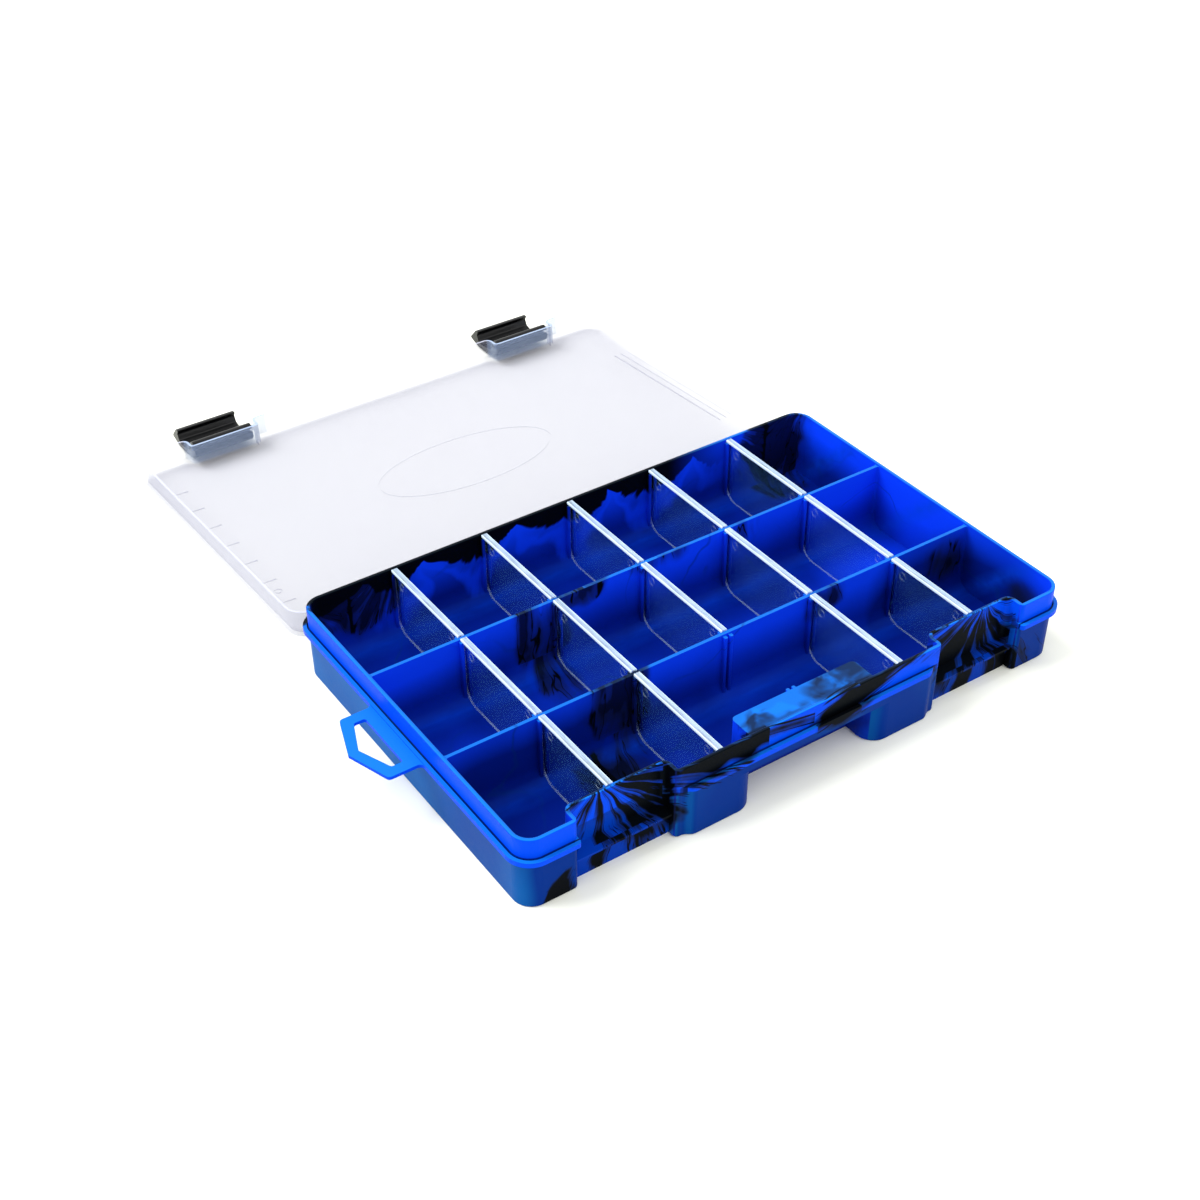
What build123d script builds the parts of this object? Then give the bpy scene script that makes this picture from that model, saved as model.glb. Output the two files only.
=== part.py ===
from build123d import *

import os
from math import asin, atan2, degrees, hypot, sqrt

# Fishing tackle box: a compartment tray, a clear hinged lid, two snap latches and fourteen loose dividers.
# Millimetres. The origin is the centre of the tray's underside, +Z is up, +X runs along the length and the
# latches are on the -Y side. The lid is modelled shut and then swung back until it lies open behind the tray,
# which is how the box rests.

os.makedirs("parts", exist_ok=True)

# Overall size: the flange is the widest part of the tray, and the shut lid gives the height.
OVERALL_LENGTH = 356.0
OVERALL_DEPTH = 231.0
CLOSED_HEIGHT = 50.8

# Tray shell
FLANGE_OUT = 3.0
FLANGE_TOP = 33.0
FLANGE_HEIGHT = 3.0
GROOVE_WIDTH = 0.9
GROOVE_DEPTH = 1.4
RIM_LENGTH = OVERALL_LENGTH - 2 * FLANGE_OUT
RIM_DEPTH = OVERALL_DEPTH - 2 * FLANGE_OUT
RIM_HEIGHT = 45.0
RIM_ROUND = 0.5
CORNER_R = 11.0
WALL = 2.2
FLOOR = 2.0
BASE_ROUND = 1.2
REAR_Y = RIM_DEPTH / 2
FRONT_Y = -RIM_DEPTH / 2
FACE_Y = -OVERALL_DEPTH / 2

# Three rows of compartments between two fixed partitions, with five divider slots in each row
PARTITION = 2.0
PARTITION_DROP = 1.0
PARTITION_TOP = RIM_HEIGHT - PARTITION_DROP
PARTITION_CORNER_R = 1.5
PARTITION_Y = (37.0, -38.6)
SLOT_PITCH = 58.6
SLOT_X = [SLOT_PITCH * step for step in (-2, -1, 0, 1, 2)]
COVE_R = 10.0

# Pairs of ribs that hold a divider
RIB_WIDTH = 2.0
RIB_DEPTH = 2.6
RIB_GAP = 1.7
RIB_BOTTOM = FLOOR + 2.5
RIB_TOP = PARTITION_TOP - 1.0
RIB_ROOT = 0.6

# Latch notches in the front wall, with a ledge that the latch hooks under
NOTCH_X = (-115.0, 115.0)
NOTCH_WIDTH = 57.0
NOTCH_DEPTH = 10.0
NOTCH_R = 3.0
NOTCH_BACK_Y = FRONT_Y + NOTCH_DEPTH
LEDGE_BACK_Z = 18.1
LEDGE_LIP_Z = 15.5
LEDGE_LIP_Y = FRONT_Y + 2.7
LEDGE_THICKNESS = 1.4
STRIP_Y = FRONT_Y + 6.0
STRIP_THICKNESS = 1.6

# Front blocks each side of the finger recess, under a band that runs across the middle
BLOCK_END_X = NOTCH_X[1] - NOTCH_WIDTH / 2
BLOCK_RAMP_FOOT = 5.0
BLOCK_RAMP_HEAD = 9.5
BLOCK_END_R = 5.0
FLANGE_END_R = 2.0
FINGER_HALF_WIDTH = 38.0
FINGER_MOUTH_R = 11.0
FINGER_BACK_Y = FRONT_Y + 15.8
FINGER_ROOF = 2.0
BAND_BOTTOM = 25.5

# Hanging loop on the left end
LOOP_TOP = FLANGE_TOP - 0.5
LOOP_THICKNESS = 2.0
LOOP_Y = 1.5
LOOP_ROOT_X = -RIM_LENGTH / 2
LOOP_SHOULDER_X = -196.8
LOOP_TIP_X = -205.5
LOOP_HALF_WIDTH = 26.0
LOOP_HOLE_INNER_X = -185.2
LOOP_HOLE_OUTER_X = -191.8
LOOP_HOLE_TIP_X = -199.6
LOOP_HOLE_HALF_WIDTH = 19.6
LOOP_CORNER_R = 2.5
LOOP_ROOT_R = 3.0

# Lid
LID_GAP = 0.3
SKIRT = 1.5
SKIRT_BOTTOM = FLANGE_TOP + 0.2
LID_WALL = 1.8
MARGIN_TOP = 49.2
PANEL_LENGTH = 300.0
PANEL_DEPTH = 178.0
PANEL_R = 6.0
LID_NOTCH_NARROW = 8.0

# Moulded marks inside the lid
MARK_WIDTH = 0.9
TICK_LENGTH = 10.0
TICK_PITCH = 25.4
TICK_COUNT = 7
TICK_X = -164.5
TICK_BOTTOM = 47.5
TICK_HEIGHT = 1.1
LINE_X = (158.0, 163.0, 168.0)
LINE_LENGTH = 120.0
GATE_RING = (-164.5, 63.5)
GATE_RING_R = 2.6
OVAL_RADII = (62.0, 30.0)
OVAL_BOTTOM = 48.6
OVAL_HEIGHT = 0.9

# Snap hinge along the back: lugs on the tray, barrels with stub pins on the lid
HINGE_Y = REAR_Y + 3.2
HINGE_Z = FLANGE_TOP - 0.3
HINGE_X = (-110.0, 0.0, 110.0)
HINGE_R = 2.8
HINGE_PIN_R = 1.5
HINGE_CLEARANCE = 0.05
BARREL_HALF = 8.8
LUG_NEAR = 9.2
LUG_WIDTH = 3.0
LUG_RELIEF = 0.4
OPEN_GAP = 0.3

# Latches: a barrel snapped over a rod in the lid's notch, a channel, a hook and a finger tip
PIVOT_Y = FRONT_Y + 4.0
PIVOT_Z = SKIRT_BOTTOM + 3.9
ROD_R = 2.0
ROD_CLEARANCE = 0.05
LATCH_BARREL_R = 3.9
LATCH_LENGTH = 41.0
LATCH_SHIFT = -4.7
LATCH_SWING = 5.0
SNAP_SLOT = 2.8
LATCH_OUTLINE = [
    (-3.6, -0.5), (-3.4, -4.4), (-0.6, -7.2), (8.0, -8.5), (17.0, -8.4), (25.0, -7.2), (35.0, -2.4),
    (26.3, 4.4), (23.0, 4.2), (25.3, 1.2), (24.1, -2.8), (20.5, -4.7), (8.0, -5.0), (3.7, -1.0),
]
LATCH_ROUNDS = [0.5, 1.5, 2.5, 4.0, 8.0, 6.0, 0.8, 0.8, 0.5, 0.8, 1.2, 2.0, 1.5, 0.5]

# Dividers: a thin plate with a rail along its top
DIVIDER = 1.3
DIVIDER_SIDE_GAP = 0.25
DIVIDER_FLOOR_GAP = 0.3
RAIL_WIDTH = 3.8
RAIL_HEIGHT = 1.4
RAIL_BOTTOM = RIB_TOP + 0.4
RAIL_ROUND = 0.5
RING_R = 2.6
RING_WIDTH = 0.6
RING_HEIGHT = 0.25
RING_INSET = 9.0
RING_Z = RAIL_BOTTOM - 5.9


def rim_outline(grow, narrow=0):
    """The rim's plan outline, offset outwards by grow. Each notch loses narrow from its +X end."""
    front = FRONT_Y - grow
    back = NOTCH_BACK_Y - grow
    notch_width = NOTCH_WIDTH - 2 * grow - narrow
    with BuildSketch() as outline:
        RectangleRounded(RIM_LENGTH + 2 * grow, RIM_DEPTH + 2 * grow, CORNER_R + grow)
        with Locations(*[(x - narrow / 2, (front + back) / 2) for x in NOTCH_X]):
            Rectangle(notch_width, back - front, mode=Mode.SUBTRACT)
        notch_front = outline.vertices().filter_by(lambda v: abs(v.Y - front) < 0.01)
        fillet([v for v in notch_front if abs(v.X) < BLOCK_END_X + NOTCH_WIDTH + 1], NOTCH_R + grow)
        fillet(outline.vertices().filter_by(lambda v: abs(v.Y - back) < 0.01), NOTCH_R - grow)
    return outline.sketch


def front_wall_y(x):
    """The inner face of whatever closes the front row at x: plain wall, notch back or finger box."""
    if abs(x) < FINGER_HALF_WIDTH + WALL:
        return FINGER_BACK_Y + WALL
    if any(abs(x - notch) < NOTCH_WIDTH / 2 + WALL for notch in NOTCH_X):
        return NOTCH_BACK_Y + WALL
    return FRONT_Y + WALL


def row_walls(row, x):
    """The front and back wall faces of a row at x, the rows counted from the back."""
    back = REAR_Y - WALL if row == 0 else PARTITION_Y[row - 1] - PARTITION / 2
    front = front_wall_y(x) if row == 2 else PARTITION_Y[row] + PARTITION / 2
    return front, back


# ---------------------------------------------------------------- tray
inner_end_x = RIM_LENGTH / 2 - WALL
notch_side_x = [abs(NOTCH_X[1] + side * (NOTCH_WIDTH / 2 + WALL)) for side in (-1, 1)]
finger_box_x = FINGER_HALF_WIDTH + WALL
finger_box_back = FINGER_BACK_Y + WALL

# coves where each row's floor meets its long walls, as (start x, end x, wall y, side)
cove_runs = [(-inner_end_x, inner_end_x, row_walls(row, 0)[1], -1) for row in range(3)]
cove_runs += [(-inner_end_x, inner_end_x, row_walls(row, 0)[0], 1) for row in range(2)]
front_stops = [-inner_end_x, -notch_side_x[1], -notch_side_x[0], -finger_box_x]
front_stops += [-x for x in reversed(front_stops)]
for start, end in zip(front_stops[:-1], front_stops[1:]):
    cove_runs.append((start, end, front_wall_y((start + end) / 2), 1))

with BuildPart() as coves:
    for start, end, wall_y, side in cove_runs:
        bend = COVE_R * (1 - sqrt(0.5))
        with BuildSketch(Plane.YZ.offset(start)):
            with BuildLine():
                Polyline(
                    (wall_y, FLOOR + COVE_R), (wall_y - side * RIB_ROOT, FLOOR + COVE_R),
                    (wall_y - side * RIB_ROOT, FLOOR - RIB_ROOT), (wall_y + side * COVE_R, FLOOR - RIB_ROOT),
                    (wall_y + side * COVE_R, FLOOR),
                )
                cove_middle = (wall_y + side * bend, FLOOR + bend)
                ThreePointArc((wall_y + side * COVE_R, FLOOR), cove_middle, (wall_y, FLOOR + COVE_R))
            make_face()
        extrude(amount=end - start)
    # kept within the walls at the rounded corners
    with BuildSketch():
        add(rim_outline(-WALL / 2))
    extrude(amount=RIM_HEIGHT, mode=Mode.INTERSECT)

with BuildPart() as tray:
    # outer wall, which swells forward between the notches into the blocks, up to the flange's top
    ramp_foot_x = BLOCK_END_X - BLOCK_RAMP_FOOT
    ramp_head_x = BLOCK_END_X - BLOCK_RAMP_HEAD
    with BuildSketch():
        add(rim_outline(0))
        with BuildLine():
            Polyline(
                (-ramp_foot_x, FRONT_Y), (-ramp_head_x, FACE_Y),
                (ramp_head_x, FACE_Y), (ramp_foot_x, FRONT_Y), close=True,
            )
        make_face()
        ramp_ends = vertices().filter_by(lambda v: v.Y < FRONT_Y + 0.01)
        fillet(ramp_ends.filter_by(lambda v: abs(v.X) < ramp_foot_x + 0.01), BLOCK_END_R)
    extrude(amount=FLANGE_TOP)
    with BuildSketch(Plane.XY.offset(FLANGE_TOP)):
        add(rim_outline(0))
    extrude(amount=RIM_HEIGHT - FLANGE_TOP)

    # finger recess, open below and in front under the band
    with BuildSketch():
        with Locations((0, (FACE_Y + FINGER_BACK_Y) / 2)):
            Rectangle(2 * FINGER_HALF_WIDTH, FINGER_BACK_Y - FACE_Y)
        with Locations((0, FACE_Y + FINGER_MOUTH_R / 2)):
            Rectangle(2 * (FINGER_HALF_WIDTH + FINGER_MOUTH_R), FINGER_MOUTH_R)
        mouth_x = FINGER_HALF_WIDTH + FINGER_MOUTH_R
        with Locations((mouth_x, FACE_Y + FINGER_MOUTH_R), (-mouth_x, FACE_Y + FINGER_MOUTH_R)):
            Circle(FINGER_MOUTH_R, mode=Mode.SUBTRACT)
    extrude(amount=BAND_BOTTOM, mode=Mode.SUBTRACT)
    fillet(edges().group_by(Axis.Z)[0], BASE_ROUND)

    # flange round the outside, up to each notch
    outer_end_x = BLOCK_END_X + NOTCH_WIDTH
    with BuildSketch(Plane.XY.offset(FLANGE_TOP - FLANGE_HEIGHT)):
        RectangleRounded(OVERALL_LENGTH, OVERALL_DEPTH, CORNER_R + FLANGE_OUT)
        with Locations((0, (FACE_Y + NOTCH_BACK_Y) / 2)):
            Rectangle(2 * outer_end_x, NOTCH_BACK_Y - FACE_Y, mode=Mode.SUBTRACT)
        flange_ends = vertices().filter_by(lambda v: abs(v.Y - FACE_Y) < 0.01)
        fillet(flange_ends.filter_by(lambda v: abs(abs(v.X) - outer_end_x) < 0.01), FLANGE_END_R)
    extrude(amount=FLANGE_HEIGHT)

    # narrow groove in the flange's top, along the foot of the rim
    with BuildSketch(Plane.XY.offset(FLANGE_TOP)):
        add(rim_outline(GROOVE_WIDTH))
        add(rim_outline(0), mode=Mode.SUBTRACT)
        gap_width = outer_end_x + NOTCH_R - ramp_head_x
        gap_x = ramp_head_x + gap_width / 2
        with Locations((-gap_x, NOTCH_BACK_Y), (gap_x, NOTCH_BACK_Y)):
            Rectangle(gap_width, 4 * NOTCH_DEPTH, mode=Mode.SUBTRACT)
    extrude(amount=-GROOVE_DEPTH, mode=Mode.SUBTRACT)

    # the recess goes on up behind the band, under a roof
    with BuildSketch(Plane.XY.offset(BAND_BOTTOM)):
        with Locations((0, (FRONT_Y + WALL + FINGER_BACK_Y) / 2)):
            Rectangle(2 * FINGER_HALF_WIDTH, FINGER_BACK_Y - FRONT_Y - WALL)
    extrude(amount=PARTITION_TOP - FINGER_ROOF - BAND_BOTTOM, mode=Mode.SUBTRACT)

    # hanging loop
    with BuildSketch(Plane.XY.offset(LOOP_TOP - LOOP_THICKNESS)):
        with BuildLine():
            Polyline(
                (LOOP_ROOT_X, LOOP_Y + LOOP_HALF_WIDTH), (LOOP_SHOULDER_X, LOOP_Y + LOOP_HALF_WIDTH),
                (LOOP_TIP_X, LOOP_Y), (LOOP_SHOULDER_X, LOOP_Y - LOOP_HALF_WIDTH),
                (LOOP_ROOT_X, LOOP_Y - LOOP_HALF_WIDTH), close=True,
            )
        make_face()
        fillet(vertices().filter_by(lambda v: v.X < LOOP_ROOT_X - 1), LOOP_CORNER_R)
        with Locations((LOOP_ROOT_X - FLANGE_OUT / 2, LOOP_Y)):
            Rectangle(FLANGE_OUT, 2 * (LOOP_HALF_WIDTH + LOOP_ROOT_R + 1))
        loop_roots = vertices().filter_by(lambda v: abs(v.X - LOOP_ROOT_X + FLANGE_OUT) < 0.01)
        fillet(loop_roots.filter_by(lambda v: abs(abs(v.Y - LOOP_Y) - LOOP_HALF_WIDTH) < 0.01), LOOP_ROOT_R)
        with BuildLine():
            FilletPolyline(
                (LOOP_HOLE_INNER_X, LOOP_Y + LOOP_HOLE_HALF_WIDTH),
                (LOOP_HOLE_OUTER_X, LOOP_Y + LOOP_HOLE_HALF_WIDTH),
                (LOOP_HOLE_TIP_X, LOOP_Y), (LOOP_HOLE_OUTER_X, LOOP_Y - LOOP_HOLE_HALF_WIDTH),
                (LOOP_HOLE_INNER_X, LOOP_Y - LOOP_HOLE_HALF_WIDTH), radius=LOOP_CORNER_R - 1, close=True,
            )
        make_face(mode=Mode.SUBTRACT)
    extrude(amount=LOOP_THICKNESS)

    # ledge and strip across each notch, hollow from below
    for notch_x in NOTCH_X:
        with BuildSketch(Plane.YZ.offset(notch_x - NOTCH_WIDTH / 2)):
            with BuildLine():
                Polyline(
                    (NOTCH_BACK_Y + RIB_ROOT, LEDGE_BACK_Z), (NOTCH_BACK_Y, LEDGE_BACK_Z),
                    (LEDGE_LIP_Y, LEDGE_LIP_Z),
                    (LEDGE_LIP_Y, LEDGE_LIP_Z - LEDGE_THICKNESS), (STRIP_Y, LEDGE_LIP_Z - LEDGE_THICKNESS),
                    (STRIP_Y, 0), (STRIP_Y + STRIP_THICKNESS, 0),
                    (STRIP_Y + STRIP_THICKNESS, LEDGE_LIP_Z - LEDGE_THICKNESS),
                    (NOTCH_BACK_Y + RIB_ROOT, LEDGE_LIP_Z), close=True,
                )
            make_face()
        extrude(amount=NOTCH_WIDTH)

    # rounded rim, which stands a little above the partitions and the roof of the finger recess
    with BuildSketch(Plane.XY.offset(PARTITION_TOP)):
        add(rim_outline(-WALL))
    extrude(amount=PARTITION_DROP, mode=Mode.SUBTRACT)
    fillet(edges().group_by(Axis.Z)[-1], RIM_ROUND)

    # compartments, cut as three rows around the notches and the finger box
    with BuildSketch(Plane.XY.offset(FLOOR)):
        add(rim_outline(-WALL))
        with Locations(*[(0, y) for y in PARTITION_Y]):
            Rectangle(RIM_LENGTH, PARTITION, mode=Mode.SUBTRACT)
        row_ends = vertices().filter_by(lambda v: abs(v.X) > inner_end_x - 0.01)
        fillet(row_ends.filter_by(lambda v: abs(v.Y) < REAR_Y - WALL - CORNER_R), PARTITION_CORNER_R)
        with Locations((0, (FRONT_Y + finger_box_back) / 2)):
            Rectangle(2 * finger_box_x, finger_box_back - FRONT_Y, mode=Mode.SUBTRACT)
        finger_corners = vertices().filter_by(lambda v: abs(v.Y - finger_box_back) < 0.01)
        fillet(finger_corners.filter_by(lambda v: abs(v.X) < finger_box_x + 0.01), NOTCH_R)
    extrude(amount=PARTITION_TOP - FLOOR, mode=Mode.SUBTRACT)

    add(coves.part)

    # divider ribs on both walls of every row
    rib_places = []
    for row in range(3):
        for x in SLOT_X:
            for wall_y, side in zip(row_walls(row, x), (1, -1)):
                for across in (-1, 1):
                    rib_x = x + across * (RIB_GAP + RIB_WIDTH) / 2
                    rib_places.append((rib_x, wall_y + side * (RIB_DEPTH - RIB_ROOT) / 2))
    with BuildSketch(Plane.XY.offset(RIB_BOTTOM)):
        with Locations(*rib_places):
            RectangleRounded(RIB_WIDTH, RIB_DEPTH + RIB_ROOT, RIB_WIDTH / 2 - 0.3)
    extrude(amount=RIB_TOP - RIB_BOTTOM)

    # hinge lugs, with the flange cut away between them for the lid's barrels
    with BuildSketch(Plane.XY.offset(FLANGE_TOP - FLANGE_HEIGHT)):
        with Locations(*[(x, REAR_Y + FLANGE_OUT / 2) for x in HINGE_X]):
            Rectangle(2 * LUG_NEAR, FLANGE_OUT)
    extrude(amount=FLANGE_HEIGHT, mode=Mode.SUBTRACT)
    for hinge_x in HINGE_X:
        for lug_x in (hinge_x - LUG_NEAR - LUG_WIDTH, hinge_x + LUG_NEAR):
            with BuildSketch(Plane.YZ.offset(lug_x)):
                with Locations((HINGE_Y, HINGE_Z)):
                    Circle(HINGE_R)
                with Locations(((REAR_Y + HINGE_Y) / 2, HINGE_Z - HINGE_R / 2)):
                    Rectangle(HINGE_Y - REAR_Y, HINGE_R)
            extrude(amount=LUG_WIDTH)
            with BuildSketch(Plane.YZ.offset(lug_x)):
                with Locations((HINGE_Y, HINGE_Z)):
                    Circle(HINGE_PIN_R + HINGE_CLEARANCE)
            extrude(amount=LUG_WIDTH, mode=Mode.SUBTRACT)

tray.part.label = "tray"
export_step(tray.part, "parts/tray.step")


# ---------------------------------------------------------------- lid
def lid_block(grow, margin_top, panel_top):
    """The lid as a plain block: upright sides, then shallow slopes up to a flat inner panel."""
    length = RIM_LENGTH + 2 * grow
    depth = RIM_DEPTH + 2 * grow
    with BuildPart() as block:
        with BuildSketch(Plane.XY.offset(SKIRT_BOTTOM)):
            RectangleRounded(length, depth, CORNER_R + grow)
        extrude(amount=margin_top - SKIRT_BOTTOM)
        with BuildSketch(Plane.XY.offset(margin_top)):
            RectangleRounded(length, depth, CORNER_R + grow)
        with BuildSketch(Plane.XY.offset(panel_top)):
            RectangleRounded(PANEL_LENGTH, PANEL_DEPTH, PANEL_R)
        loft(ruled=True)
    return block.part


# the space inside the shut lid
with BuildPart() as lid_core:
    with BuildSketch(Plane.XY.offset(SKIRT_BOTTOM)):
        add(rim_outline(LID_GAP, LID_NOTCH_NARROW))
    extrude(amount=RIM_HEIGHT)
    add(lid_block(LID_GAP, MARGIN_TOP - LID_WALL, CLOSED_HEIGHT - LID_WALL), mode=Mode.INTERSECT)

with BuildPart() as lid_shut:
    with BuildSketch(Plane.XY.offset(SKIRT_BOTTOM)):
        add(rim_outline(LID_GAP + SKIRT, LID_NOTCH_NARROW))
    extrude(amount=RIM_HEIGHT)
    add(lid_block(LID_GAP + SKIRT, MARGIN_TOP, CLOSED_HEIGHT), mode=Mode.INTERSECT)
    add(lid_core.part, mode=Mode.SUBTRACT)

    # moulded marks: a plain oval, a rule of ticks, three plain lines and the gate ring
    with BuildSketch(Plane.XY.offset(OVAL_BOTTOM)):
        Ellipse(*OVAL_RADII)
        Ellipse(*[radius - MARK_WIDTH for radius in OVAL_RADII], mode=Mode.SUBTRACT)
    extrude(amount=OVAL_HEIGHT)
    tick_y = [TICK_PITCH * (step - (TICK_COUNT - 1) / 2) for step in range(TICK_COUNT)]
    with BuildSketch(Plane.XY.offset(TICK_BOTTOM)):
        with Locations(*[(TICK_X, y) for y in tick_y]):
            Rectangle(TICK_LENGTH, MARK_WIDTH)
        with Locations(*[(x, 0) for x in LINE_X]):
            Rectangle(MARK_WIDTH, LINE_LENGTH)
        with Locations(GATE_RING):
            Circle(GATE_RING_R)
            Circle(GATE_RING_R - MARK_WIDTH, mode=Mode.SUBTRACT)
    extrude(amount=TICK_HEIGHT)

    # rods across the notches for the latches
    for notch_x in NOTCH_X:
        half_rod = NOTCH_WIDTH / 2 - LID_GAP - SKIRT / 2
        with BuildSketch(Plane.YZ.offset(notch_x - half_rod)):
            with Locations((PIVOT_Y, PIVOT_Z)):
                Circle(ROD_R)
        extrude(amount=2 * half_rod - LID_NOTCH_NARROW)

    # hinge barrels with stub pins, and clearance in the skirt for the tray's lugs
    for hinge_x in HINGE_X:
        lug_middle = LUG_NEAR + LUG_WIDTH / 2
        relief_height = HINGE_Z + HINGE_R + LUG_RELIEF - SKIRT_BOTTOM
        with BuildSketch(Plane.XY.offset(SKIRT_BOTTOM)):
            skirt_middle = REAR_Y + LID_GAP + SKIRT / 2
            with Locations((hinge_x - lug_middle, skirt_middle), (hinge_x + lug_middle, skirt_middle)):
                Rectangle(LUG_WIDTH + 2 * LUG_RELIEF, SKIRT + 2 * LID_GAP)
        extrude(amount=relief_height, mode=Mode.SUBTRACT)
        with BuildSketch(Plane.YZ.offset(hinge_x - BARREL_HALF)):
            with Locations((HINGE_Y, HINGE_Z)):
                Circle(HINGE_R)
        extrude(amount=2 * BARREL_HALF)
        pin_half = LUG_NEAR + LUG_WIDTH
        with BuildSketch(Plane.YZ.offset(hinge_x - pin_half)):
            with Locations((HINGE_Y, HINGE_Z)):
                Circle(HINGE_PIN_R)
        extrude(amount=2 * pin_half)

# The lid opens past flat until the edge of its front skirt is just above the surface that the tray stands on.
hinge_axis = Axis((0, HINGE_Y, HINGE_Z), (1, 0, 0))
edge_reach = HINGE_Y - FRONT_Y + LID_GAP + SKIRT
edge_rise = MARGIN_TOP - HINGE_Z
past_flat = degrees(asin((HINGE_Z - OPEN_GAP) / hypot(edge_reach, edge_rise)) - atan2(edge_rise, edge_reach))
LID_OPEN = 180 + past_flat
print("lid opens", round(LID_OPEN, 3), "degrees about y", HINGE_Y, "z", HINGE_Z)

with BuildPart() as lid:
    add(lid_shut.part.rotate(hinge_axis, -LID_OPEN))

lid.part.label = "lid"
export_step(lid.part, "parts/lid.step")


# ---------------------------------------------------------------- latches
def make_latch(label, notch_x):
    """One latch, swung out from the lid. LATCH_OUTLINE is its section, as distances outwards from the pivot
    and away from the lid's top. LATCH_SWING turns it a little further, past level."""
    start_x = notch_x + LATCH_SHIFT - LATCH_LENGTH / 2
    outline = [(PIVOT_Y - out, PIVOT_Z - rise) for out, rise in LATCH_OUTLINE]
    with BuildPart() as latch_on_lid:
        with BuildSketch(Plane.YZ.offset(start_x)):
            with BuildLine():
                FilletPolyline(*outline, radius=LATCH_ROUNDS, close=True)
            make_face()
            with Locations((PIVOT_Y, PIVOT_Z)):
                Circle(LATCH_BARREL_R)
                Circle(ROD_R + ROD_CLEARANCE, mode=Mode.SUBTRACT)
            with Locations((PIVOT_Y + LATCH_BARREL_R / 2, PIVOT_Z)):
                Rectangle(LATCH_BARREL_R + 1, SNAP_SLOT, mode=Mode.SUBTRACT)
        extrude(amount=LATCH_LENGTH)
    latch_axis = Axis((0, PIVOT_Y, PIVOT_Z), (1, 0, 0))
    with BuildPart() as latch:
        add(latch_on_lid.part.rotate(latch_axis, -LATCH_SWING).rotate(hinge_axis, -LID_OPEN))
    latch.part.label = label
    export_step(latch.part, f"parts/{label}.step")


for latch_name, latch_notch_x in zip(("latch_left", "latch_right"), NOTCH_X):
    make_latch(latch_name, latch_notch_x)


# ---------------------------------------------------------------- dividers
def make_divider(label, row, x):
    """One divider standing in the slot at x."""
    front, back = row_walls(row, x)
    front += DIVIDER_SIDE_GAP
    back -= DIVIDER_SIDE_GAP
    bottom = FLOOR + DIVIDER_FLOOR_GAP
    with BuildPart() as divider:
        with BuildSketch(Plane.YZ.offset(x - DIVIDER / 2)):
            with Locations(((front + back) / 2, (bottom + RAIL_BOTTOM) / 2)):
                Rectangle(back - front, RAIL_BOTTOM - bottom)
            fillet(vertices().group_by(Axis.Y)[0], COVE_R)
        extrude(amount=DIVIDER)
        with BuildSketch(Plane.YZ.offset(x - DIVIDER / 2)):
            with Locations((front + RING_INSET, RING_Z), (back - RING_INSET, RING_Z)):
                Circle(RING_R)
                Circle(RING_R - RING_WIDTH, mode=Mode.SUBTRACT)
        extrude(amount=-RING_HEIGHT)
        with BuildSketch(Plane.XY.offset(RAIL_BOTTOM)):
            with Locations((x, (front + back) / 2)):
                Rectangle(RAIL_WIDTH, back - front)
        extrude(amount=RAIL_HEIGHT)
        fillet(edges().filter_by(Axis.Y).group_by(Axis.Z)[-1], RAIL_ROUND)
    divider.part.label = label
    export_step(divider.part, f"parts/{label}.step")


# The front row's middle slot meets the finger box and stays empty.
for row, row_name in enumerate(("back", "middle", "front")):
    for number, slot_x in enumerate(SLOT_X, start=1):
        if row_name == "front" and slot_x == 0:
            continue
        make_divider(f"divider_{row_name}_{number}", row, slot_x)
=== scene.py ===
from math import cos, pi, radians, sin

import bpy
from mathutils import Matrix, Vector


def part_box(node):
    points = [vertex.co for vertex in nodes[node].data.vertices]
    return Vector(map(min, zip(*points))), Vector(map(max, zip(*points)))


# The fishing tackle box in its open rest pose. Metres, in the CAD frame: +X along the box, +Y from the
# latches to the hinge, +Z up. The box's shapes are the CAD's own. This script paints them and adds a
# floor, lights and the camera.
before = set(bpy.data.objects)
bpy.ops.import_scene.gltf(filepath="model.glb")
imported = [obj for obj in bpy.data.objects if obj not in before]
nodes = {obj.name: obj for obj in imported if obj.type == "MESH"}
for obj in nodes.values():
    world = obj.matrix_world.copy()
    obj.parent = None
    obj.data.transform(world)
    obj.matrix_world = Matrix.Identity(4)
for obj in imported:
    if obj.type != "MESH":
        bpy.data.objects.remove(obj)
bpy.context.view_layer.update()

FLANGE_OUT = 0.003
RIM_ABOVE_FLANGE = 0.012
CORNER_R = 0.011
NOTCH_X = 0.115
NOTCH_HALF = 0.0285
NOTCH_DEPTH = 0.010
FINGER_ROOF_HALF = 0.040

tray_low, tray_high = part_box("tray")
lid_low, lid_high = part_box("lid")
RIM_HALF_LENGTH = tray_high.x - FLANGE_OUT
RIM_HALF_DEPTH = -tray_low.y - FLANGE_OUT
RIM_TOP = tray_high.z
FLANGE_TOP = RIM_TOP - RIM_ABOVE_FLANGE
NOTCH_BACK_Y = NOTCH_DEPTH - RIM_HALF_DEPTH
BEHIND_NOTCH_Y = NOTCH_BACK_Y + 0.001
SLOT_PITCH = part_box("divider_back_4")[0].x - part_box("divider_back_3")[0].x
DIVIDER_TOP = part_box("divider_back_3")[1].z
ROW_BACK_Y = [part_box(f"divider_{row}_1")[1].y for row in ("back", "middle", "front")]


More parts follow.
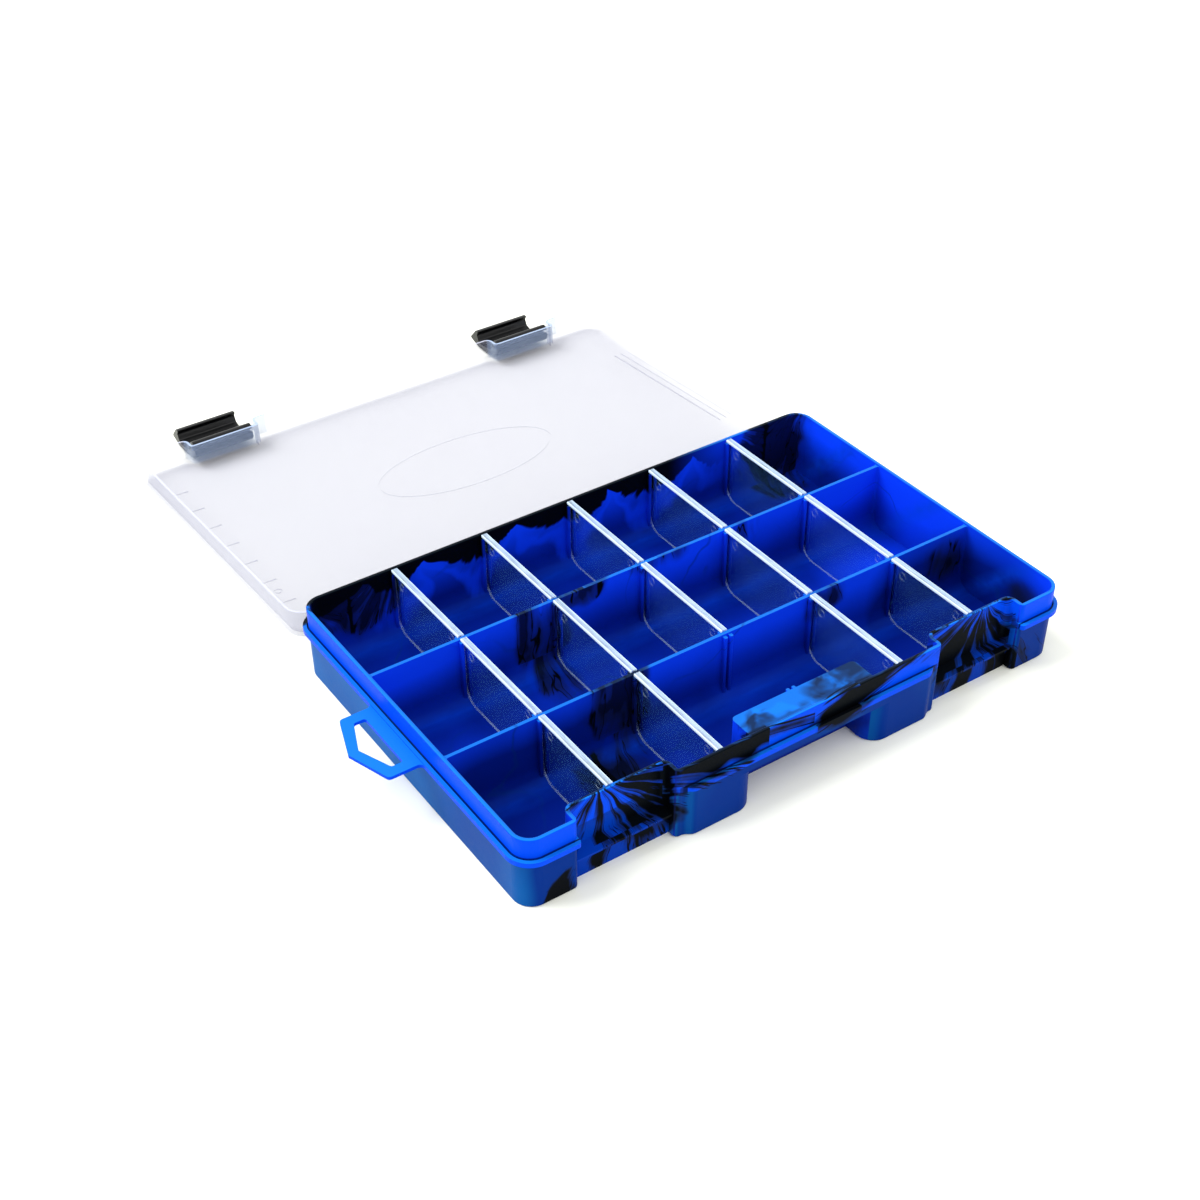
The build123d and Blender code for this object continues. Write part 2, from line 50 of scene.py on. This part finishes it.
# ---------------------------------------------------------------- material graphs
class Graph:
    """A material's node tree, with short ways to add and wire its nodes."""

    def __init__(self, name):
        self.material = bpy.data.materials.new(name)
        self.material.use_nodes = True
        self.tree = self.material.node_tree
        self.tree.nodes.clear()
        self.output = self.node("ShaderNodeOutputMaterial")
        self.place = self.node("ShaderNodeTexCoord").outputs["Object"]
        normal = self.node("ShaderNodeTexCoord").outputs["Normal"]
        self.x, self.y, self.z = self.node("ShaderNodeSeparateXYZ", Vector=self.place).outputs
        self.nx, _, self.nz = self.node("ShaderNodeSeparateXYZ", Vector=normal).outputs

    def node(self, kind, settings=(), **inputs):
        made = self.tree.nodes.new(kind)
        for key, value in dict(settings).items():
            setattr(made, key, value)
        for key, value in inputs.items():
            self.put(made.inputs[key.replace("_", " ")], value)
        return made

    def put(self, socket, value):
        if isinstance(value, bpy.types.NodeSocket):
            self.tree.links.new(value, socket)
        else:
            socket.default_value = value

    def math(self, operation, *values, clamp=False):
        made = self.node("ShaderNodeMath", {"operation": operation, "use_clamp": clamp})
        for socket, value in zip(made.inputs, values):
            self.put(socket, value)
        return made.outputs[0]

    def times(self, first, *others):
        for other in others:
            first = self.math("MULTIPLY", first, other)
        return first

    def plus(self, first, second, clamp=False):
        return self.math("ADD", first, second, clamp=clamp)

    def minus(self, first, second):
        return self.math("SUBTRACT", first, second)

    def flip(self, value, clamp=False):
        """One minus the value."""
        return self.math("SUBTRACT", 1.0, value, clamp=clamp)

    def size(self, value):
        return self.math("ABSOLUTE", value)

    def larger(self, first, second):
        return self.math("MAXIMUM", first, second)

    def above(self, value, limit):
        return self.math("GREATER_THAN", value, limit)

    def below(self, value, limit):
        return self.math("LESS_THAN", value, limit)

    def step(self, value, start, end):
        """Rises smoothly from 0 at start to 1 at end."""
        made = self.node("ShaderNodeMapRange", {"interpolation_type": "SMOOTHSTEP"}, Value=value)
        self.put(made.inputs["From Min"], start)
        self.put(made.inputs["From Max"], end)
        return made.outputs["Result"]

    def vector(self, operation, *values, scale=None):
        made = self.node("ShaderNodeVectorMath", {"operation": operation})
        for socket, value in zip(made.inputs, values):
            self.put(socket, value)
        if scale is not None:
            self.put(made.inputs["Scale"], scale)
        return made.outputs[1] if operation == "LENGTH" else made.outputs[0]

    def noise(self, place, scale, detail=2.0, roughness=0.5, output="Fac"):
        made = self.node("ShaderNodeTexNoise", Vector=place, Scale=scale, Detail=detail, Roughness=roughness)
        return made.outputs[output]

    def mix_value(self, factor, first, second):
        made = self.node("ShaderNodeMix", {"data_type": "FLOAT"})
        for socket, value in zip((made.inputs[0], made.inputs[2], made.inputs[3]), (factor, first, second)):
            self.put(socket, value)
        return made.outputs[0]

    def mix(self, factor, first, second):
        made = self.node("ShaderNodeMix", {"data_type": "RGBA"})
        for socket, value in zip((made.inputs[0], made.inputs[6], made.inputs[7]), (factor, first, second)):
            self.put(socket, value)
        return made.outputs[2]

    def bump(self, height, distance, strength):
        return self.node("ShaderNodeBump", Height=height, Distance=distance, Strength=strength).outputs[0]

    def finish(self, shader):
        self.tree.links.new(shader, self.output.inputs["Surface"])
        return self.material


def colour(red, green, blue):
    """An sRGB colour, 0 to 255, as a linear one."""
    def linear(value):
        value /= 255
        return value / 12.92 if value <= 0.04045 else ((value + 0.055) / 1.055) ** 2.4
    return (linear(red), linear(green), linear(blue), 1.0)


def warped(g, place, scale, amount):
    """The place pushed about by a smooth noise."""
    push = g.vector("SUBTRACT", g.noise(place, scale, output="Color"), (0.5, 0.5, 0.5))
    return g.vector("ADD", place, g.vector("SCALE", push, scale=amount))


def near(g, place, centre, reach):
    """1 at the centre, falling to 0 on the ellipsoid that has these reaches along X, Y and Z."""
    offset = g.vector("SUBTRACT", place, centre)
    return g.flip(g.vector("LENGTH", g.vector("DIVIDE", offset, reach)), clamp=True)


def off_notch(g):
    """Distance along X from the middle of the nearer latch notch."""
    return g.size(g.minus(g.size(g.x), NOTCH_X))


def nearest_slot(g):
    """The number of the nearest divider along X, 0 in the middle, and its X."""
    number = g.math("ROUND", g.math("DIVIDE", g.x, SLOT_PITCH))
    return number, g.times(number, SLOT_PITCH)


# ---------------------------------------------------------------- tray: blue plastic with black swirls
# The inside walls and floors low down, in painted shade.
BLUE_SHADED_LOW = colour(0, 27, 132)
# The inside walls near the rim in painted light, and the clearer blue below the drapes.
BLUE_BRIGHT = colour(8, 66, 255)
# Top faces, with a painted highlight.
BLUE_TOP_HIGHLIGHT = colour(12, 104, 208)
BLUE_BAND = colour(2, 66, 214)
# The outside below the flange in painted light, greyed by a painted reflection of the floor.
BLUE_OUTSIDE_LIT = colour(10, 84, 152)
# The outside below the flange in painted shade, and the colour of the dark wisps.
BLUE_SHADE_AND_WISP = colour(0, 40, 120)
BLACK = colour(3, 4, 7)
SMOKE = colour(14, 20, 36)
SHINE = colour(130, 200, 255)


def swirl_places():
    """Where the black has run into the blue: centre, reach and strength of each patch."""
    back, middle, front = ROW_BACK_Y
    pitch = SLOT_PITCH
    rim = RIM_TOP
    return [
        ((-2.50 * pitch, back, 0.88 * rim), (0.66 * pitch, 0.026, 0.80 * rim), 0.78),
        ((2.62 * pitch, back - 0.004, 0.72 * rim), (0.62 * pitch, 0.045, 1.00 * rim), 1.15),
        ((-1.14 * pitch, middle - 0.004, 0.60 * rim), (0.40 * pitch, 0.055, 1.10 * rim), 0.48),
        ((-0.75 * pitch, middle, 0.95 * rim), (0.50 * pitch, 0.008, 0.22 * rim), 0.40),
        ((-1.20 * pitch, front - 0.002, 0.72 * rim), (0.44 * pitch, 0.045, 0.95 * rim), 0.70),
        ((-1.50 * pitch, front - 0.022, 0.0), (0.60 * pitch, 0.026, 0.35 * rim), 0.55),
        ((0.15 * pitch, middle, 0.95 * rim), (0.55 * pitch, 0.008, 0.25 * rim), 0.36),
        ((1.12 * pitch, middle, 0.90 * rim), (0.40 * pitch, 0.020, 0.50 * rim), 0.34),
        ((1.20 * pitch, front, 0.85 * rim), (0.40 * pitch, 0.012, 0.35 * rim), 0.34),
        ((2.45 * pitch, front - 0.052, 0.15 * rim), (0.80 * pitch, 0.032, 0.80 * rim), 0.80),
        ((2.66 * pitch, front, 0.50 * rim), (0.50 * pitch, 0.020, 0.75 * rim), 0.22),
        ((-NOTCH_X + 0.012, NOTCH_BACK_Y - 0.002, 0.60 * rim), (0.056, 0.015, 1.05 * rim), 0.72),
        ((NOTCH_X - 0.006, NOTCH_BACK_Y - 0.002, 0.60 * rim), (0.056, 0.015, 1.00 * rim), 0.62),
        ((-0.045, -RIM_HALF_DEPTH, 0.88 * rim), (0.075, 0.014, 0.30 * rim), 0.70),
        ((0.030, -RIM_HALF_DEPTH + 0.002, 0.80 * rim), (0.045, 0.022, 0.42 * rim), 0.95),
        ((0.064, -RIM_HALF_DEPTH, 0.92 * rim), (0.055, 0.012, 0.26 * rim), 0.60),
        ((-0.150, -RIM_HALF_DEPTH, 0.06 * rim), (0.016, 0.010, 0.42 * rim), 0.95),
        ((0.036, -RIM_HALF_DEPTH + 0.010, rim), (0.034, 0.024, 0.30 * rim), 0.60),
        ((-0.034, -RIM_HALF_DEPTH + 0.006, rim), (0.018, 0.012, 0.20 * rim), 0.44),
    ]


def painted_light_and_shade_places():
    """Painted light and shade in single compartments: centre, reach and how much, lit above 0 and shaded
    below 0.
    """
    back, middle, front = ROW_BACK_Y
    pitch = SLOT_PITCH
    return [
        ((2.5 * pitch, middle - 0.035, 0.02), (0.75 * pitch, 0.050, 0.06), 0.9),
        ((-2.6 * pitch, middle, RIM_TOP), (0.9 * pitch, 0.020, 0.03), 0.6),
        ((-2.6 * pitch, middle - 0.050, 0.0), (0.8 * pitch, 0.030, 0.02), 0.35),
        ((0.6 * pitch, middle - 0.030, 0.02), (0.7 * pitch, 0.045, 0.03), 0.35),
        ((-2.5 * pitch, front - 0.020, 0.02), (0.9 * pitch, 0.060, 0.07), -1.10),
        ((-1.5 * pitch, front - 0.010, 0.03), (0.7 * pitch, 0.040, 0.04), -0.5),
        ((2.5 * pitch, front - 0.025, 0.02), (0.9 * pitch, 0.060, 0.07), -1.70),
        ((2.6 * pitch, back - 0.030, 0.01), (0.7 * pitch, 0.040, 0.04), -0.6),
        ((-1.5 * pitch, back - 0.040, 0.0), (1.4 * pitch, 0.030, 0.02), -0.3),
    ]


def rim_distance(g):
    """Distance outwards from the rim's outer face, negative inside."""
    over_x = g.larger(g.minus(g.size(g.x), RIM_HALF_LENGTH - CORNER_R), 0.0)
    over_y = g.larger(g.minus(g.size(g.y), RIM_HALF_DEPTH - CORNER_R), 0.0)
    squares = g.plus(g.times(over_x, over_x), g.times(over_y, over_y))
    return g.minus(g.math("SQRT", squares), CORNER_R)


class TrayZones:
    """Masks, 1 within and 0 without, for the parts of the tray that are painted differently."""

    def __init__(self, g):
        distance = rim_distance(g)
        in_notch = g.below(off_notch(g), NOTCH_HALF + 0.0002)
        self.recess = g.times(g.below(g.y, BEHIND_NOTCH_Y), in_notch)
        self.outside = g.larger(g.step(distance, -0.0014, -0.0008), self.recess)
        self.inside = g.flip(self.outside)
        high = g.step(g.z, FLANGE_TOP - 0.006, FLANGE_TOP - 0.003)
        self.top = g.times(g.step(g.nz, 0.5, 0.9), high)
        set_back = g.step(distance, -0.0035, -0.0055)
        self.roof = g.times(self.top, set_back, g.below(g.size(g.x), FINGER_ROOF_HALF))
        foot = g.times(g.step(distance, -0.0002, 0.0001), g.flip(g.step(distance, 0.0007, 0.0010)))
        # Painted shadow in the groove between the rim wall and the flange.
        self.groove = g.times(foot, g.flip(g.step(g.z, FLANGE_TOP + 0.0002, FLANGE_TOP + 0.0005)), high)


def unrolled(g):
    """Depth down a compartment's back wall and on across its floor, and the same for the latch recesses."""
    back, middle, front = ROW_BACK_Y
    wall_y = g.mix_value(g.above(g.y, middle), middle, back)
    wall_y = g.mix_value(g.above(g.y, front), front, wall_y)
    wall_y = g.mix_value(g.above(g.y, BEHIND_NOTCH_Y), NOTCH_BACK_Y, wall_y)
    across = g.larger(g.minus(wall_y, g.y), 0.0)
    return g.plus(g.minus(RIM_TOP, g.z), across)


# The middle of the streaks in each latch recess.
LEFT_APEX_X = -0.121
RIGHT_APEX_X = 0.123


def fans(g, depth):
    """Streaks that spread downwards from the top of the wall at each divider, and in each latch recess."""
    bent = g.node("ShaderNodeSeparateXYZ", Vector=warped(g, g.place, 30.0, 0.016)).outputs["X"]
    slot, slot_x = nearest_slot(g)
    behind_notch = g.above(g.y, BEHIND_NOTCH_Y)
    from_apex = g.plus(bent, g.mix_value(g.above(g.x, 0.0), -LEFT_APEX_X, -RIGHT_APEX_X))
    offset = g.mix_value(behind_notch, from_apex, g.minus(bent, slot_x))
    angle = g.math("ARCTAN2", offset, g.plus(depth, 0.006))
    row = g.times(g.math("ROUND", g.times(g.y, 14.0)), 3.7)
    spot = g.node("ShaderNodeCombineXYZ", X=g.times(angle, 4.6), Y=g.plus(g.times(slot, 5.3), row),
                  Z=g.times(depth, 9.0))
    streaks = g.noise(spot.outputs[0], 1.0, detail=3.0, roughness=0.6)
    halfway = g.step(g.size(g.minus(g.x, slot_x)), 0.38 * SLOT_PITCH, 0.50 * SLOT_PITCH)
    return g.mix_value(g.times(halfway, behind_notch), streaks, 0.5)


def drapes(g, fan):
    """Black hanging in scallops from the rim along the back wall, and a clearer blue below its hem."""
    sway = g.times(g.minus(g.noise(g.place, 22.0), 0.5), 1.3)
    phase = g.plus(g.times(g.x, 1.0 / SLOT_PITCH), sway)
    wave = g.size(g.math("COSINE", g.times(phase, pi)))
    length = g.plus(0.0025, g.times(wave, 0.013))
    hang = g.flip(g.math("DIVIDE", g.minus(RIM_TOP, g.z), length))
    there = g.step(g.y, ROW_BACK_Y[0] - 0.004, ROW_BACK_Y[0] - 0.001)
    there = g.times(there, g.flip(g.step(g.x, 1.2 * SLOT_PITCH, 2.2 * SLOT_PITCH)))
    hem = g.plus(g.times(hang, 0.5), g.times(fan, 0.5))
    black = g.times(there, g.step(hem, 0.18, 0.30))
    clear = g.times(there, g.flip(g.step(hem, -0.15, 0.15)), g.step(hem, -0.75, -0.20))
    return black, clear


def swirls(g, folded, fan, zones):
    """How far the black has run in: about half and over is solid, less is smoke."""
    patches = 0.0
    for centre, reach, strength in swirl_places():
        patches = g.larger(patches, g.times(near(g, folded, centre, reach), strength))
    broad = g.noise(folded, 30.0)
    curls = g.noise(warped(g, folded, 45.0, 0.020), 70.0)
    grain = g.mix_value(zones.roof, fan, curls)
    ink = g.plus(g.times(patches, 1.2), g.times(g.minus(grain, 0.5), 2.2))
    ink = g.plus(ink, g.times(g.minus(broad, 0.5), 0.9))
    ink = g.minus(ink, g.times(zones.roof, 0.10))
    return g.times(ink, g.step(patches, 0.04, 0.22))


def black_and_smoke(g, ink, fan, drape_black, zones):
    """Solid black with fine lines running out of it, and the smoke round it, softer inside the tray."""
    lines = g.size(g.minus(g.math("FRACT", g.times(fan, 9.0)), 0.5))
    lines = g.times(g.flip(g.step(lines, 0.03, 0.10)), g.step(ink, 0.10, 0.22), g.flip(zones.roof))
    solid = g.times(g.step(ink, 0.46, 0.54), g.flip(g.times(zones.roof, 0.45)))
    solid = g.times(solid, g.flip(g.times(zones.inside, 0.35)))
    smoke = g.times(g.step(ink, g.mix_value(zones.inside, 0.18, -0.20), 0.50), 0.86)
    return g.larger(solid, g.larger(drape_black, lines)), smoke


def plain_blue(g, zones, drift):
    """Clean blue with painted light and shade: painted shade low on the inside walls, painted light towards
    the rim, a painted highlight on top faces, and outside a blue greyed by a painted reflection, lit on the
    left side and shaded elsewhere.
    """
    up = g.larger(g.nz, 0.0)
    # Painted light on the walls and floors at the right end.
    lit_right_end = g.step(g.x, 1.9 * SLOT_PITCH, 2.8 * SLOT_PITCH)
    # Painted shade low in the compartments, turning to painted light towards the rim.
    high = g.math("POWER", g.step(g.z, 0.15 * RIM_TOP, 1.02 * RIM_TOP), 1.3)
    uneven_tone_and_light = g.times(g.minus(drift, 0.45), 0.9)
    # Painted light and shade in single compartments, added over the random tone.
    for centre, reach, gain in painted_light_and_shade_places():
        uneven_tone_and_light = g.plus(uneven_tone_and_light, g.times(near(g, g.place, centre, reach), gain))
    wall = g.plus(g.plus(high, uneven_tone_and_light), g.times(lit_right_end, 0.22), clamp=True)
    floor = g.plus(uneven_tone_and_light, g.times(lit_right_end, 0.12), clamp=True)
    inside = g.mix(g.mix_value(up, wall, floor), BLUE_SHADED_LOW, BLUE_BRIGHT)
    under_flange = g.flip(g.step(g.z, FLANGE_TOP - 0.0036, FLANGE_TOP - 0.0028))
    under_flange = g.times(under_flange, g.flip(g.times(zones.recess, 0.3)))
    # Outside below the flange: painted light on the left side and painted shade elsewhere, over a blue
    # greyed by a painted reflection of the floor.
    lit_left_side = g.step(g.times(g.nx, -1.0), 0.2, 0.9)
    shade = g.plus(g.times(lit_left_side, 0.8), uneven_tone_and_light, clamp=True)
    outer = g.mix(under_flange, BLUE_BAND, g.mix(shade, BLUE_SHADE_AND_WISP, BLUE_OUTSIDE_LIT))
    # Top faces get a painted highlight.
    return g.mix(zones.top, g.mix(zones.outside, inside, outer), BLUE_TOP_HIGHLIGHT)


# How far down the unrolled wall and floor the sheen along a cove lies.
COVE_SHEEN_DEPTH = 0.050


def marked_blue(g, zones, drift, folded, depth, drape_clear):
    """The blue with its clearer drapes, the shadowed groove, dark wisps and the sheen along each cove."""
    blue = plain_blue(g, zones, drift)
    blue = g.mix(g.times(drape_clear, zones.inside, 0.7), blue, BLUE_BRIGHT)
    # Painted shadow in the groove.
    blue = g.mix(g.times(zones.groove, 0.90), blue, BLACK)
    wisp = g.flip(g.step(g.size(g.minus(g.noise(folded, 13.0, detail=1.0), 0.5)), 0.0, 0.010))
    wisp = g.times(wisp, zones.inside, g.times(g.step(drift, 0.46, 0.60), 0.55))
    blue = g.mix(wisp, blue, BLUE_SHADE_AND_WISP)
    sheen = g.flip(g.times(g.size(g.minus(depth, COVE_SHEEN_DEPTH)), 100.0), clamp=True)
    streak = g.noise(g.vector("MULTIPLY", g.place, (0.3, 1.0, 1.0)), 160.0)
    sheen = g.times(sheen, zones.inside, g.times(streak, 0.9), g.flip(zones.top))
    return g.mix(sheen, blue, BLUE_BAND)


def tray_plastic():
    """Blue, swirled with black, with a fine grain and a bluish shine."""
    g = Graph("blue_swirled_plastic")
    zones = TrayZones(g)
    drift = g.noise(warped(g, g.place, 9.0, 0.05), 14.0)
    folded = warped(g, warped(g, g.place, 22.0, 0.026), 60.0, 0.008)
    depth = unrolled(g)
    fan = fans(g, depth)
    drape_black, drape_clear = drapes(g, fan)
    ink = swirls(g, folded, fan, zones)
    black, smoke = black_and_smoke(g, ink, fan, drape_black, zones)
    blue = marked_blue(g, zones, drift, folded, depth, drape_clear)
    painted = g.mix(black, g.mix(smoke, blue, SMOKE), BLACK)

    fine = g.noise(g.place, 900.0, detail=3.0)
    height = g.plus(g.times(fine, 0.12), g.noise(g.place, 60.0))
    shader = g.node("ShaderNodeBsdfPrincipled", Base_Color=painted, Normal=g.bump(height, 0.0004, 0.35))
    g.put(shader.inputs["Roughness"], g.plus(0.30, g.times(fine, 0.14)))
    g.put(shader.inputs["Specular Tint"], SHINE)
    gloss = g.mix_value(zones.top, g.mix_value(zones.outside, 0.05, 0.03), 0.12)
    g.put(shader.inputs["Specular IOR Level"], gloss)
    return g.finish(shader.outputs[0])


# ---------------------------------------------------------------- clear plastics
CLEAR_IOR = 1.45
# How steeply the open lid's panel rises from its far edge towards the hinge.
LID_SLOPE = 0.0695
LID_TINT = (0.857, 0.854, 0.880, 1.0)
LID_SKIRT_TINT = (0.93, 0.93, 0.945, 1.0)
LID_HAZE = colour(196, 199, 218)
# Colour of the painted grey-blue reflection on the latch notch walls.
LID_NOTCH_REFLECTION = colour(158, 176, 206)
DIVIDER_TINT = (0.91, 0.96, 0.97, 1.0)
DIVIDER_HAZE = colour(84, 140, 200)
# Colour of the painted white highlights on the rails and round the plates' rims.
DIVIDER_HIGHLIGHT = colour(206, 226, 244)


def clear_plastic(name, haze, edge_light):
    """Clear moulded plastic as thin walls: mostly see-through, milky by haze, and brighter edge-on."""
    g = Graph(name)
    cloud = g.noise(g.place, 12.0, detail=3.0)
    grain = g.noise(g.place, 700.0)
    wave = g.bump(g.plus(g.times(grain, 0.04), cloud), 0.0006, 0.3)
    body = g.node("ShaderNodeBsdfPrincipled", Roughness=0.16, IOR=CLEAR_IOR, Normal=wave)
    through = g.node("ShaderNodeBsdfTransparent")
    facing = g.node("ShaderNodeLayerWeight", Blend=0.25).outputs["Facing"]
    amount = g.plus(g.times(g.math("POWER", facing, 3.0), edge_light), haze)
    amount = g.plus(amount, g.times(cloud, haze * 0.5), clamp=True)
    return g, body, through, amount


def blended(g, amount, through, body):
    """The see-through shader with this amount of the body over it."""
    mixed = g.node("ShaderNodeMixShader")
    for socket, value in zip(mixed.inputs, (amount, through.outputs[0], body.outputs[0])):
        g.put(socket, value)
    return g.finish(mixed.outputs[0])


def lid_plastic():
    """Clear, a little milky, with painted white highlights along the skirt's edge and a painted grey-blue
    reflection on the walls of the latch notches.
    """
    g, body, through, amount = clear_plastic("clear_lid_plastic", 0.06, 0.30)
    panel = g.minus(lid_low.z, g.times(g.minus(g.y, lid_high.y), LID_SLOPE))
    rise = g.minus(g.z, panel)
    # Painted white highlight along the skirt's edge.
    edge = g.times(g.step(g.nz, 0.7, 0.95), g.step(rise, 0.0130, 0.0145))
    # Painted grey-blue reflection on the walls of the latch notches, over the latches seen through them.
    at_notch = g.flip(g.step(off_notch(g), NOTCH_HALF, NOTCH_HALF + 0.0015))
    notch = g.times(at_notch, g.step(g.y, lid_high.y - 0.0135, lid_high.y - 0.0125))
    notch = g.times(notch, g.step(rise, 0.002, 0.004))
    g.put(body.inputs["Base Color"], g.mix(notch, LID_HAZE, LID_NOTCH_REFLECTION))
    g.put(through.inputs["Color"], g.mix(g.step(rise, 0.003, 0.006), LID_TINT, LID_SKIRT_TINT))
    amount = g.plus(amount, g.times(notch, 0.20))
    amount = g.plus(amount, g.times(edge, 0.60), clamp=True)
    return blended(g, amount, through, body)


def divider_plastic():
    """Clear, with painted white highlights on the rails and their edges and a painted white line round the
    plate's rim.
    """
    g, body, through, amount = clear_plastic("clear_divider_plastic", 0.03, 0.10)
    across = g.size(g.minus(g.x, nearest_slot(g)[1]))
    # The rails and the plate's rim take the painted highlight colour, brightest at the rail edges.
    rail = g.step(g.z, DIVIDER_TOP - 0.0016, DIVIDER_TOP - 0.0013)
    rail_edge_highlight = g.times(rail, g.step(across, 0.0011, 0.0017))
    plate_edge_highlight = g.times(g.flip(g.step(g.size(g.nx), 0.3, 0.7)), g.flip(rail))
    streak = g.noise(g.vector("MULTIPLY", g.place, (1.0, 0.08, 1.0)), 900.0)
    g.put(body.inputs["Base Color"], g.mix(g.larger(rail, plate_edge_highlight), DIVIDER_HAZE, DIVIDER_HIGHLIGHT))
    g.put(body.inputs["Specular IOR Level"], 0.15)
    g.put(body.inputs["Specular Tint"], SHINE)
    g.put(through.inputs["Color"], DIVIDER_TINT)
    amount = g.plus(amount, g.times(rail, g.times(streak, 0.75)))
    amount = g.plus(amount, g.times(rail_edge_highlight, 0.55))
    amount = g.plus(amount, g.times(plate_edge_highlight, 0.14), clamp=True)
    return blended(g, amount, through, body)


# ---------------------------------------------------------------- latches: black plastic
LATCH_DARK = colour(1, 2, 3)
LATCH_LIGHT = colour(5, 6, 8)


def latch_plastic():
    """Black, with faint lines drawn along the latch's length."""
    g = Graph("black_latch_plastic")
    drawn = g.noise(g.vector("MULTIPLY", g.place, (0.15, 1.0, 1.0)), 420.0, detail=3.0)
    grain = g.noise(g.place, 900.0)
    height = g.plus(drawn, g.times(grain, 0.4))
    shader = g.node("ShaderNodeBsdfPrincipled", Base_Color=g.mix(drawn, LATCH_DARK, LATCH_LIGHT),
                    Normal=g.bump(height, 0.0003, 0.4))
    g.put(shader.inputs["Roughness"], g.plus(0.24, g.times(grain, 0.12)))
    g.put(shader.inputs["Specular IOR Level"], 0.3)
    return g.finish(shader.outputs[0])


def paint(names, material):
    for name in names:
        slots = nodes[name].data.materials
        slots.clear()
        slots.append(material)
        for face in nodes[name].data.polygons:
            face.material_index = 0


paint(["tray"], tray_plastic())
paint(["lid"], lid_plastic())
paint(["latch_left", "latch_right"], latch_plastic())
paint([name for name in nodes if name.startswith("divider")], divider_plastic())


# ---------------------------------------------------------------- floor and lights
FLOOR_HALF = 6.0
FLOOR_TONES = ((0.92, 0.94, 0.85, 1.0), (0.94, 0.95, 0.87, 1.0))
WORLD_STRENGTH = 1.10
KEY_PLACE, KEY_STRENGTH, KEY_SOFTNESS = (-0.9, 0.9, 1.5), 3.0, 38.0
FILL_PLACE, FILL_STRENGTH, FILL_SOFTNESS = (0.5, -1.2, 1.3), 0.65, 60.0
BOX_MIDDLE = (0.0, 0.10, 0.0)


def make_floor():
    mesh = bpy.data.meshes.new("floor")
    corners = [(-1, -1), (1, -1), (1, 1), (-1, 1)]
    mesh.from_pydata([(x * FLOOR_HALF, y * FLOOR_HALF, 0) for x, y in corners], [], [(0, 1, 2, 3)])
    floor = bpy.data.objects.new("floor", mesh)
    bpy.context.scene.collection.objects.link(floor)
    g = Graph("white_floor")
    tone = g.mix(g.noise(g.place, 3.0), *FLOOR_TONES)
    shader = g.node("ShaderNodeBsdfPrincipled", Base_Color=tone, Roughness=0.9)
    g.put(shader.inputs["Specular IOR Level"], 0.0)
    mesh.materials.append(g.finish(shader.outputs[0]))


def sun(name, place, strength, softness):
    data = bpy.data.lights.new(name, "SUN")
    data.energy = strength
    data.angle = radians(softness)
    light = bpy.data.objects.new(name, data)
    bpy.context.scene.collection.objects.link(light)
    light.location = place
    light.rotation_mode = "QUATERNION"
    light.rotation_quaternion = (Vector(BOX_MIDDLE) - Vector(place)).to_track_quat("-Z", "Y")


def make_world():
    world = bpy.data.worlds.new("studio")
    world.use_nodes = True
    background = world.node_tree.nodes["Background"]
    background.inputs["Color"].default_value = (1.0, 1.0, 1.0, 1.0)
    background.inputs["Strength"].default_value = WORLD_STRENGTH
    bpy.context.scene.world = world


make_floor()
make_world()
sun("key", KEY_PLACE, KEY_STRENGTH, KEY_SOFTNESS)
sun("fill", FILL_PLACE, FILL_STRENGTH, FILL_SOFTNESS)


# ---------------------------------------------------------------- camera
CAMERA_AZIMUTH = -33.36
CAMERA_ELEVATION = 38.93
CAMERA_ROLL = -0.83
CAMERA_DISTANCE = 0.9976
CAMERA_TARGET = (-0.0424, 0.0424, 0.0)
CAMERA_SENSOR = 36.0
CAMERA_LENS = 53.01
CAMERA_SHIFT = (0.0210, 0.0387)
CAMERA_CLIP = (0.05, 50.0)


def make_camera():
    a, e, roll = radians(CAMERA_AZIMUTH), radians(CAMERA_ELEVATION), radians(CAMERA_ROLL)
    back = Vector((sin(a) * cos(e), -cos(a) * cos(e), sin(e)))
    level = Vector((cos(a), sin(a), 0.0))
    upright = back.cross(level)
    right = level * cos(roll) + upright * sin(roll)
    up = upright * cos(roll) - level * sin(roll)
    data = bpy.data.cameras.new("camera")
    data.sensor_width = CAMERA_SENSOR
    data.lens = CAMERA_LENS
    data.shift_x, data.shift_y = CAMERA_SHIFT
    data.clip_start, data.clip_end = CAMERA_CLIP
    camera = bpy.data.objects.new("camera", data)
    bpy.context.scene.collection.objects.link(camera)
    camera.rotation_mode = "QUATERNION"
    camera.rotation_quaternion = Matrix((right, up, back)).transposed().to_quaternion()
    camera.location = Vector(CAMERA_TARGET) + back * CAMERA_DISTANCE
    bpy.context.scene.camera = camera


make_camera()
bpy.context.scene.view_settings.view_transform = "Standard"
